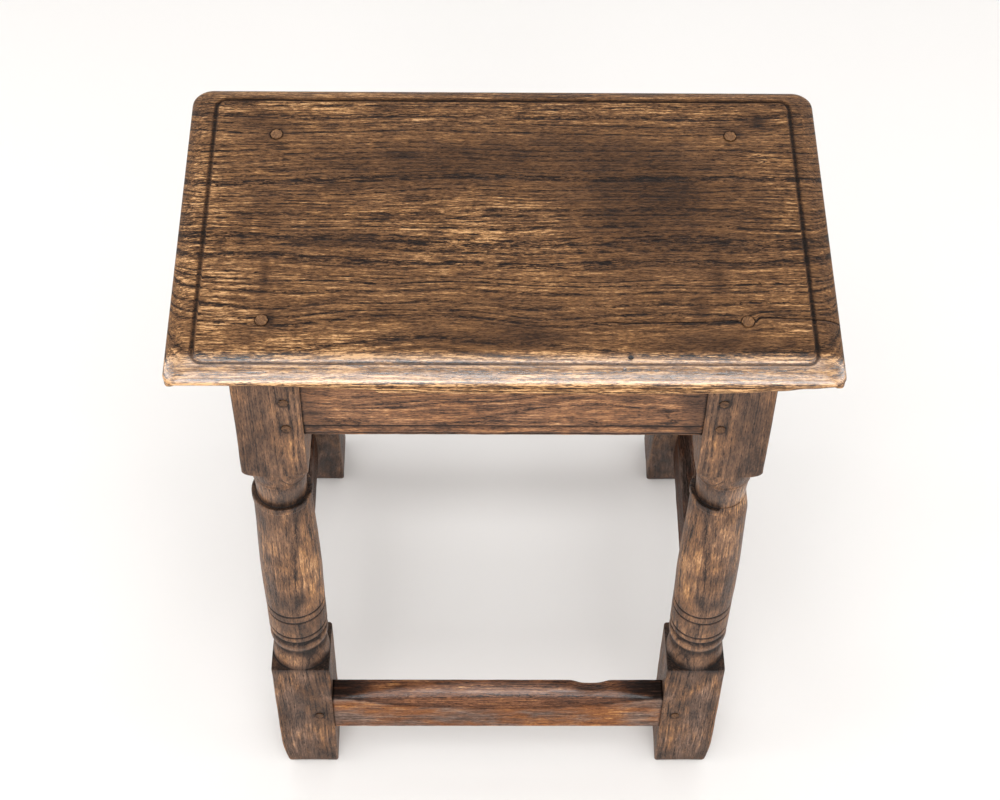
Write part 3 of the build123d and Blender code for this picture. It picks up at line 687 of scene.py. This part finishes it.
def leg_profile():
    """Radius and height all the way up a leg, as the turner's gauge shows it."""
    lower_block = stations(0, [(6, 1.0), (50, 2.4), (74, 2.4), (86, 1.0), (143, 2.4), (147.5, 1.0)])
    points = [(CLEAR, h) for h in lower_block]
    points += [(32.05 + sqrt(9 - u * u), 147.5 + u) for u in (0, 1, 2, 2.7, 3)]
    points += [(r, 150.5) for r in (30, 28, 26, 24.9)]
    points += bow((24.1, 150.7), (23.2, 158.2), (22.3, 166), 14)
    points += bow((22.3, 166), (20.9, 171.5), (23.1, 177), 14)[1:]
    points += bow((23.15, 177.3), (24, 181.2), (23.15, 185.2), 10)
    points += bow((22.9, 185.5), (20.7, 188.7), (23.6, 191.7), 10)
    points += [(24, h) for h in stations(192.3, [(219, 0.7)])]
    swelling = [(219, 24), (265, 24.45), (364, 22.4)]
    points += [(between(swelling, h), h) for h in stations(219.7, [(231, 0.7), (358, 2.2), (364, 1)])]
    points += [(22.9, 364.4)] + [(23.2, h) for h in range(365, 370)]
    points += [(23.1, 369.7), (22.6, 370), (21.6, 369.8), (20.4, 369.5), (19.5, 369.3)]
    points += bow((19.3, 369.6), (19.4, 381), (20.3, 392.2), 22)
    points += [(20.6, 392.5), (20.9, 392.8), (20.9, 394), (20.9, 395.5), (20.9, 397), (21.5, 397.4)]
    cup = 397.7
    for h in stations(cup, [(HEAD - 0.4, 0.8)]):
        points.append((between([(cup, 21.9), (HEAD, 24.2)], h) + 0.5 * sin(pi * (h - cup) / 16), h))
    points += [(25.5, HEAD), (27.05, HEAD)]
    points += [(27.05 + sqrt(64 - u * u), HEAD + 8 - u) for u in (7.9, 7.4, 6.6, 5.5, 4, 2, 0)]
    points += [(CLEAR, h) for h in stations(HEAD + 9, [(466, 2.2), (504, 1.0), (LEG_LENGTH, 2.2)])]
    return points


# %% [markdown]
# ## Wear on a leg
# Each leg gets its own story in a few numbers: how round its arrises are, how far its outer
# foot edge has been kicked away, and whether its collar is still whole. One small function
# gives the radius of the rounded square in any direction. Square and turning are joined by
# taking the smaller one, softened where the two nearly meet so that the joint catches the light.

# %% Wear on a leg
SOFTENED = 0.7  # square and turning are blended where they are closer than this
PEG_RIM = 3.9
PEG_SUNK = 0.9
LEG_PEGS = [((0, -1), -11.9, 468.5), ((0, -1), -11.9, 496.5), ((1, 0), 11.5, 482.5), ((1, 0), 11.5, 510.5),
            ((0, -1), -11.9, 78), ((1, 0), 11.5, 92)]
FOOT_ROUND, FOOT_ROUND_HEIGHT = 3.8, 6.0
KICK_HEIGHT = 34


def square_radius(angle, half, arris):
    """Distance from the axis to a square with rounded corners, in a direction."""
    off = abs((angle + pi / 4) % (pi / 2) - pi / 4)
    if tan(off) * half <= half - arris:
        return half / cos(off)
    centre = half - arris
    along = centre * (cos(off) + sin(off))
    return along + sqrt(max(0, along * along - 2 * centre * centre + arris * arris))


def soft_min(a, b, blend):
    """The smaller of two lengths, with a rounded change from one to the other."""
    part = max(0.0, blend - abs(a - b)) / blend
    return min(a, b) - part * part * blend / 4


def add_peg_rim(co, face, across, height):
    """Sinks the wood round a peg in one face of a leg, and returns how dark it has stained."""
    axis = 0 if face[0] else 1
    if co[axis] * face[axis] < STOCK_HALF - 1.5:
        return 0.0
    other = 1 - axis
    du, dv = co[other] - across, co.z - height
    away = hypot(du, dv)
    if away < PEG_RIM + 0.7:
        if away > PEG_RIM - 0.5:
            co[other] = across + du / away * PEG_RIM
            co.z = height + dv / away * PEG_RIM
        else:
            co[axis] -= face[axis] * PEG_SUNK
    return 0.3 * exp(-((away - PEG_RIM) / 1.5) ** 2)


def make_leg(name, node, place, finish, seed, collar=None, kick=0.0, shade=0.0):
    """Spins, squares and wears one leg, and puts it in its place."""
    bm, grain, tone, polish = timber_mesh()
    last = None
    edges = []
    for radius, height in leg_profile():
        vert = bm.verts.new((radius, 0, height))
        if last:
            edges.append(bm.edges.new((last, vert)))
        last = vert
    bmesh.ops.spin(bm, geom=bm.verts[:] + edges, cent=(0, 0, 0), axis=(0, 0, 1), angle=2 * pi,
                   steps=SPIN_STEPS, use_merge=True)
    slope_x, slope_y = -place[2][0] / place[2][2], -place[2][1] / place[2][2]
    for vert in bm.verts:
        co = vert.co
        turned = hypot(co.x, co.y)
        angle = atan2(co.y, co.x)
        angle += 0.45 * sin(4 * angle) / 4
        height = co.z
        arris = 1.6 + 1.0 * wobble((angle * 8, 0, height), 26, seed)
        half = STOCK_HALF - 0.25 - 0.25 * wobble((angle * 20, 0, height), 30, seed + 3)
        radius = soft_min(turned, square_radius(angle, half, max(0.7, arris)), SOFTENED)
        if turned < CLEAR:
            radius -= 0.15 * (1 + wobble((angle * 20, 0, height), 16, seed + 5))
        for at in SCORES:
            radius -= max(0, 0.95 - 0.75 * abs(height - at))
        kept = 1.0
        if collar is not None:
            radius, kept = collar(radius, angle, height)
        radius -= FOOT_ROUND * max(0, 1 - height / FOOT_ROUND_HEIGHT) ** 2
        vert.co = (radius * cos(angle), radius * sin(angle), height)
        vert[grain] = (height, vert.co.x, vert.co.y)
        if kick:
            vert.co.x -= kick * max(0, 1 - height / KICK_HEIGHT) ** 1.6 * smooth_step(-10, 24, vert.co.x)
        stain = sum(add_peg_rim(vert.co, *peg) for peg in LEG_PEGS)
        lifted = max(0, 1 - height / 40) + max(0, 1 - (LEG_LENGTH - height) / 40)
        vert.co.z += (slope_x * vert.co.x + slope_y * vert.co.y) * smooth_step(0, 1, lifted)
        vert[tone] = shade - stain + leg_tone(vert.co, height, seed, kept)
        vert[polish] = leg_polish(height)
    for upper in (False, True):
        ends = [e for e in bm.edges if e.is_boundary and (e.verts[0].co.z > HEAD) == upper]
        bmesh.ops.contextual_create(bm, geom=ends)
    return hand_over(bm, name, node, finish, place, 2)


# %% [markdown]
# ## Rails and stretchers
# The rails are long bars with one section from end to end. The section is drawn as a loop in
# the plane across the bar, and a spin of no angle but many steps pushes it along, which leaves
# a ring of vertices every few millimetres to wear down later. The ends are then moved to the
# legs' faces, which are not square to the bar because the legs rake and lean.

# %% Rails and stretchers
APRON_HEIGHT = 77.0
APRON_LOOP = [(22, 0), (22, APRON_HEIGHT), (0.4, APRON_HEIGHT), (0, APRON_HEIGHT - 0.6), (0, 13.6),
              (0.25, 12.8), (1.8, 11.3), (1.2, 10.3), (0.55, 8.9), (0.3, 7.0), (0.55, 5.1), (1.2, 3.7),
              (1.8, 2.9), (1.7, 2.4), (1.75, 1.0), (2.0, 0.4), (2.5, 0)]
STRETCHER_TOP = 47
STRETCHER_LOOP = [(20, 1.2), (20, 45.5), (19.6, 46.4), (18.6, STRETCHER_TOP), (1.4, STRETCHER_TOP),
                  (0.5, 46.6), (0, 45.6), (0, 1.3), (0.4, 0.4), (1.3, 0), (18.7, 0), (19.6, 0.4)]
BAR_STEP = 2.3
LOOP_STEP = 2.2
BAR_HALF = 141.0  # before its ends are moved to the legs
MID_DEPTH = 10  # between the front of a bar and its back


def fine_loop(points):
    """Divides the long sides of a loop, so that they can be worn."""
    fine = []
    for (x0, y0), (x1, y1) in zip(points, points[1:] + points[:1]):
        count = max(1, round(hypot(x1 - x0, y1 - y0) / LOOP_STEP))
        fine += [(x0 + (x1 - x0) * k / count, y0 + (y1 - y0) * k / count) for k in range(count)]
    return fine


def make_bar(name, node, place, finish, loop, setback, foot, reach, seed, wear, shade, shine):
    """Pushes a section along a bar, fits its ends to the legs and wears it. Without a shine it is dull."""
    bm, grain, tone, polish = timber_mesh()
    steps = round(2 * BAR_HALF / BAR_STEP)
    ring = [bm.verts.new((-BAR_HALF, depth, height)) for depth, height in fine_loop(loop)]
    edges = [bm.edges.new(pair) for pair in zip(ring, ring[1:] + ring[:1])]
    bmesh.ops.spin(bm, geom=ring + edges, cent=(0, 0, 0), axis=(1, 0, 0), angle=0,
                   dvec=(2 * BAR_HALF / steps, 0, 0), steps=steps)
    for side in (-1, 1):
        open_ends = [e for e in bm.edges if e.is_boundary and e.verts[0].co.x * side > 0]
        bmesh.ops.contextual_create(bm, geom=open_ends)
    for vert in bm.verts:
        part, depth, height = vert.co.x / BAR_HALF, vert.co.y, vert.co.z
        along = part * (reach(height + foot) + 0.5)
        vert[grain] = (along, depth, height)
        vert[tone] = shade(along, depth, height)
        vert[polish] = shine(along, depth, height) if shine else DULL
        if wear:
            depth, height = wear(along, depth, height)
        spot = (along, depth, height)
        sag = 0.2 * (1 + wobble(spot, 24, seed)) + 0.15 * (1 + wobble(spot, 8, seed + 2))
        depth += sag if depth < MID_DEPTH else -sag
        vert.co = (along, depth + setback - STOCK_HALF, height + foot)
    return hand_over(bm, name, node, finish, place)


def long_reach(lean):
    """Half length of a front or back bar at a height up the leg."""
    return lambda height: LEG_X - STOCK_HALF / cos(lean) + (LEG_LENGTH - height) * tan(lean)


def end_reach(height):
    """Half length of an end bar, level by level."""
    return FOOT_Y - height * tan(RAKE) - STOCK_HALF / cos(RAKE)


ROLL_DEPTH, ROLL_HALF = 17.7, 138
NOTCH_AT, NOTCH_HALF, NOTCH_DEPTH = 80, 13, 5.0
NOTCH_FLOOR = 30  # the wood below this height isn't pressed in


def foot_wear(along):
    """How worn the front stretcher is, from 1 in the middle to 0 near its ends."""
    return max(0, 1 - (along / ROLL_HALF) ** 2)


def round_roll(depth, height, line):
    """How far round a worn corner a place lies, from -1 on the face to 1 on top."""
    return (depth - (STRETCHER_TOP - height)) / max(line, 1)


def rest_of_feet(along, depth, height):
    """Feet on the front stretcher have rolled its upper front corner away, and a heel has notched its top."""
    line = (ROLL_DEPTH + 0.8 * wobble((along, depth, height), 18, 7.0)) * foot_wear(along)
    over = line - (depth + STRETCHER_TOP - height)
    if over > 0:
        over *= 0.86 + 0.14 * round_roll(depth, height, line) ** 2
        depth += over / 2
        height -= over / 2
    if height > NOTCH_FLOOR:
        height -= NOTCH_DEPTH * exp(-((along - NOTCH_AT) / NOTCH_HALF) ** 4) * smooth_step(4, 19, depth)
    return depth, height


# %% [markdown]
# ## Where everything stands
# The front legs stand upright in a frame that is tipped back by the rake. The back legs are the
# front ones seen in a mirror, and lean out a little more towards their feet. The end rails hang
# upright between them, with their length along Y.

# %% Where everything stands
TIPPED = Matrix(((1, 0, 0, 0), (0, cos(RAKE), sin(RAKE), -FOOT_Y),
                 (0, -sin(RAKE), cos(RAKE), 0), (0, 0, 0, 1)))
MIRROR_X = Matrix.Diagonal((-1, 1, 1, 1))
MIRROR_Y = Matrix.Diagonal((1, -1, 1, 1))
SIDEWAYS = Matrix(((0, -1, 0, 0), (1, 0, 0, 0), (0, 0, 1, 0), (0, 0, 0, 1)))


def leg_place(lean):
    """Frame of a right leg. One that leans turns about its head."""
    head = Matrix.Translation((LEG_X, 0, LEG_LENGTH))
    return TIPPED @ head @ Matrix.Rotation(-lean, 4, "Y") @ Matrix.Translation((0, 0, -LEG_LENGTH))


END_PLACE = Matrix.Translation((LEG_X, 0, 0)) @ SIDEWAYS
print("frames ready")

# %% [markdown]
# ## Painting light and dark
# Nobody's stool is evenly brown. The seat is pale in the middle where it has been sat on and
# dark round that, and the pegs have bled black into the oak. A blot is a soft oval with a
# middle, a size and a strength, and a timber's tone is the sum of its blots.

# %% Tones
BOARD_BLOTS = [
    (-10, -4, 75, 34, 0.15), (-218, 0, 12, 110, 0.22), (0, 0, 200, 90, -0.04),
    (216, 0, 14, 110, 0.05), (-45, 50, 75, 22, -0.14), (100, 20, 60, 48, -0.24), (30, 66, 110, 22, -0.10),
    (0, -76, 90, 12, -0.05), (198, 20, 14, 70, -0.05), (-108, -14, 34, 7, -0.22), (-30, -100, 42, 9, -0.14),
    (18, -97, 26, 10, -0.18), (150, -100, 34, 9, -0.16), (-150, 112, 60, 8, 0.12), (-178, 98, 20, 8, -0.14),
    (186, 98, 7, 9, -0.25), (186, 62, 9, 5, 0.22), (-195, -60, 14, 50, 0.12), (-130, -106, 70, 10, 0.14),
    (196, 10, 12, 60, 0.08), (148, -45, 5, 22, -0.16), (134, -70, 5, 16, -0.16), (-166, -46, 3, 18, -0.2),
    (-166, 12, 8, 20, -0.1), (60, 108, 60, 8, 0.10), (-160, -82, 4, 7, -0.35), (-166, 87, 9, 6, -0.25),
    (165, 88, 9, 5, -0.2), (110, -104, 20, 6, -0.1), (-51, -96, 9, 3, -0.14), (23, -95, 9, 3, -0.14),
    (-75, 64, 12, 4, -0.14), (-39, 69, 10, 3, -0.12), (105, 41, 10, 4, -0.12), (109, -13, 12, 4, -0.14),
    (133, 32, 10, 5, -0.12), (-179, -100, 9, 4, -0.16), (145, -103, 9, 3, -0.14), (172, -107, 8, 3, -0.16),
    (192, -103, 7, 3, -0.14), (-200, 106, 9, 6, 0.12), (-61, 98, 14, 4, 0.10), (203, 14, 5, 9, 0.12),
    (-190, -84, 9, 5, 0.12), (-138, -104, 12, 3, 0.12), (101, 113, 16, 4, 0.10)]


def blots(spots, x, y):
    """Sum of soft ovals at a place."""
    total = 0.0
    for cx, cy, rx, ry, strength in spots:
        size = ((x - cx) / rx) ** 2 + ((y - cy) / ry) ** 2
        if size < 6:
            total += strength * exp(-size)
    return total


def in_groove(x, y):
    """1 in the middle of the groove, fading on both sides."""
    return exp(-(from_groove(x, y) / GROOVE_SHADE) ** 2)


def board_tone(x, y, ring):
    """Light and dark on the board and its edge, with painted shade in the groove and a front that is paler
    from wear and partly from a painted highlight.
    """
    total = blots(BOARD_BLOTS, x, y)
    # Along the front the top and the edge are paler: rubbed wood, and partly a painted highlight.
    front = smooth_step(-106, -116, y)
    if ring == ON_EDGE:
        return total + 0.20 * front - 0.05
    total += 0.22 * front
    # Painted shade in the groove, weaker along the front except near its left end.
    total -= (0.42 - 0.14 * front * smooth_step(-150, -100, x)) * in_groove(x, y)
    return total - 0.08 * smooth_step(205, 216, abs(x)) * (1 - front)


def board_polish(x, y, ring):
    """Legs and cloths have burnished the front of the top, though less in the groove."""
    if ring == ON_EDGE:
        return DULL
    open_wood = 1 - 0.55 * in_groove(x, y)
    return DULL + (1 - DULL) * open_wood * smooth_step(-108, -120, y) * smooth_step(-0.02, 0.12, ring)


# Bands up a leg: the dark ones in the coves, the groove, round the ring, in the shoulder hollows and in the
# scored lines are dirt and painted shade.
LEG_TONE_AND_SHADE_BANDS = [(171.8, 4.5, -0.48), (188.6, 2.8, -0.75), (177.2, 1.0, -0.3), (393, 6, -0.06), (300, 55, 0.09),
             (151.5, 4, -0.28), (0, 22, -0.06)] + [(score, 1.0, -0.6) for score in SCORES]
# Painted shade in the cup above the collar and a little on the neck, only where the collar is whole.
COLLAR_SHADE_BANDS = [(COLLAR, 3, -0.25), (380, 9, -0.03)]
BREAK_BANDS = [(367, 9, 0.14), (475, 60, -0.10)]
POLISH_BANDS = [(380, 9, 0.42), (181.2, 2, 0.3)]


def bands(spots, height):
    """Sum of soft bands at a height. Each spot is its middle, its reach and its strength."""
    return sum(strength * exp(-((height - middle) / reach) ** 2) for middle, reach, strength in spots)


def leg_tone(co, height, seed, kept):
    """Dark in hollows and scored lines from dirt and painted shade, paler on the swelling and on the break of
    a lost collar.
    """
    total = bands(LEG_TONE_AND_SHADE_BANDS, height)
    total += kept * bands(COLLAR_SHADE_BANDS, height) + (1 - kept) * bands(BREAK_BANDS, height)
    return total + 0.15 * wobble(co, 32, seed + 20) + 0.08 * wobble(co, 11, seed + 30)


def leg_polish(height):
    """Wax lies in the neck above the collar and on the ring below; the rest is dull with dust."""
    return DULL + 0.06 * smooth_step(150, 160, height) + bands(POLISH_BANDS, height)


def joint_stain(along):
    """The joint between a bar and a leg is nearly black."""
    return 0.5 * smooth_step(139.6, 141.2, abs(along))


def bar_tone(along, depth, _):
    """Ends of a bar are darker where they meet the legs, and its back is darker than its front."""
    face = 0.04 if depth < MID_DEPTH else -0.1
    return face - 0.16 * smooth_step(118, 141, abs(along)) - joint_stain(along)


def low_bar_tone(*spot):
    """Bars near the floor are darker all over."""
    return bar_tone(*spot) - 0.10


def apron_tone(along, depth, height):
    """Painted shade in the two quirks beside the bead, and a little dirt dulling the bead."""
    lines = bands([(11.7, 1.2, 0.45), (2.6, 1.1, 0.42), (7, 4, 0.05)], height)
    return bar_tone(along, depth, height) - (lines if depth < MID_DEPTH else 0)


def in_roll(along, depth, height):
    """How far inside the worn roll a place lies, and how far round it."""
    line = ROLL_DEPTH * foot_wear(along)
    return line - (depth + STRETCHER_TOP - height), round_roll(depth, height, line)


def foot_shine(along, depth, height):
    """Shoes have burnished the top of the front stretcher, and the upper half of the worn roll most."""
    inside, round_it = in_roll(along, depth, height)
    upper = smooth_step(-0.2, 0.15, round_it) * (1 - 0.8 * smooth_step(0.35, 0.8, round_it))
    roll = smooth_step(-0.4, 1.0, inside) * (0.16 + 0.75 * upper)
    return max(roll, 0.2 * smooth_step(44.5, 46.5, height)) * (1 - 0.5 * smooth_step(110, 136, abs(along)))


def front_bar_tone(along, depth, height):
    """Golden where shoes rub, dark at the ends and along the border of the roll."""
    inside, round_it = in_roll(along, depth, height)
    worn = smooth_step(-0.4, 1.0, inside)
    rubbed = max(worn, smooth_step(44.0, 46.5, height))
    border = exp(-((inside - 1.0) / 1.8) ** 2)
    ends = smooth_step(98, 124, abs(along))
    total = 0.09 * (1 - rubbed) - 0.45 * ends * rubbed - 0.25 * border * (1 - ends) - joint_stain(along)
    return total + worn * (0.08 * exp(-(along / 80) ** 2) - 0.06 * (1 - smooth_step(-0.3, 0.2, round_it)))


# %% [markdown]
# ## Building the stool
# Now the pieces are made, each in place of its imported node. The four legs share one profile,
# but each has its own seed, so no two are worn alike. The collar of the front right leg has
# broken away except for one third on its inner side.

# %% Board in place
bm, grain, tone, polish = timber_mesh()
DENSE_X = [(-173, 2.3), (-158, 0.9), (76, 2.3), (90, 1.0), (158, 2.3), (173, 0.9)]
DENSE_Y = [(-94, 2.3), (-76, 0.9), (76, 2.3), (91, 0.9)]
xs = board_lines(HALF_LENGTH, MOULD_END, DENSE_X)
ys = board_lines(HALF_DEPTH, MOULD_FRONT, DENSE_Y)
crack_row = min(ys, key=lambda y: abs(y + 83))
bmesh.ops.create_grid(bm, x_segments=len(xs) - 1, y_segments=len(ys) - 1, size=1)
for vert in bm.verts:
    column = round((vert.co.x + 1) / 2 * (len(xs) - 1))
    row = round((vert.co.y + 1) / 2 * (len(ys) - 1))
    x, y, ring = ring_point(xs[column], ys[row])
    vert.co = (x, y, board_height(x, y, ring))
    vert[grain] = vert.co
    vert[tone] = board_tone(x, y, ring)
    vert[polish] = board_polish(x, y, ring)
    vert[tone] -= open_crack(vert, ys[row] - crack_row, crack_row)
    for spot in PEG_SPOTS:
        vert[tone] -= sink_hole(vert, spot, PEG_HOLE, 1.6)
    for spot, radius, depth in NAIL_HOLES:
        vert[tone] -= sink_hole(vert, spot, radius, depth)
turn_down_edge(bm, grain, tone, polish)
board = hand_over(bm, "plank_seat", "seat_board", board_oak, Matrix.Translation((0, 0, TOP)))


# %% Legs in place
def broken_collar(radius, angle, height):
    """Only the inner third of a collar is left, over a smooth slope. Returns a radius and how whole it is."""
    off = abs((angle - radians(205) + pi) % (2 * pi) - pi)
    whole = smooth_step(radians(62), radians(56), off)
    slope = 19.2 + 5.1 * (COLLAR - height) / 30
    if height <= COLLAR:
        radius = radius * whole + min(radius, slope) * (1 - whole)
    return radius, whole


FRONT = leg_place(0)
BACK = MIRROR_Y @ leg_place(BACK_LEAN)
LEGS = [
    ("leg_front_left", MIRROR_X @ FRONT, 11.0, None, 5.5, 0.0),
    ("leg_front_right", FRONT, 23.0, broken_collar, 4.0, 0.0),
    ("leg_back_left", MIRROR_X @ BACK, 37.0, None, 0.0, -0.10),
    ("leg_back_right", BACK, 51.0, None, 0.0, -0.08),
]
for node, place, seed, collar, kick, shade in LEGS:
    leg = make_leg("turned_" + node, node, place, leg_oak, seed, collar, kick, shade)

# %% Bars in place
RAIL_FOOT = LEG_LENGTH - APRON_HEIGHT
STRETCHER_FOOT = 58.0
RAIL_SETBACK, STRETCHER_SETBACK = 1.0, 0.8
UPRIGHT = cos(RAKE)  # how far up one goes for each millimetre along a raked leg
SIDES = [
    ("front", TIPPED, 1, long_reach(0), 3.0, 12.0),
    ("back", MIRROR_Y @ TIPPED, 1, long_reach(BACK_LEAN), 5.0, 14.0),
    ("right", END_PLACE, UPRIGHT, end_reach, 7.0, 16.0),
    ("left", MIRROR_X @ END_PLACE, UPRIGHT, end_reach, 9.0, 18.0),
]
for side, place, rise, reach, seed, _ in SIDES:
    bar = make_bar("rail_" + side, "apron_" + side, place, apron_oak, APRON_LOOP, RAIL_SETBACK,
                   RAIL_FOOT * rise, reach, seed, None, apron_tone, None)
for side, place, rise, reach, _, seed in SIDES:
    ways = (rest_of_feet, front_bar_tone, foot_shine) if side == "front" else (None, low_bar_tone, None)
    bar = make_bar("bar_" + side, "stretcher_" + side, place, stretcher_oak, STRETCHER_LOOP,
                   STRETCHER_SETBACK, STRETCHER_FOOT * rise, reach, seed, *ways)

# %% Pegs
for name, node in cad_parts.items():
    if name.endswith("pegs"):
        way = "seat" if name.startswith("seat") else "long" if "front" in name or "back" in name else "end"
        node.data.materials.clear()
        node.data.materials.append(peg_oaks[way])
        print(name, "fibres run as in", way, "pegs")
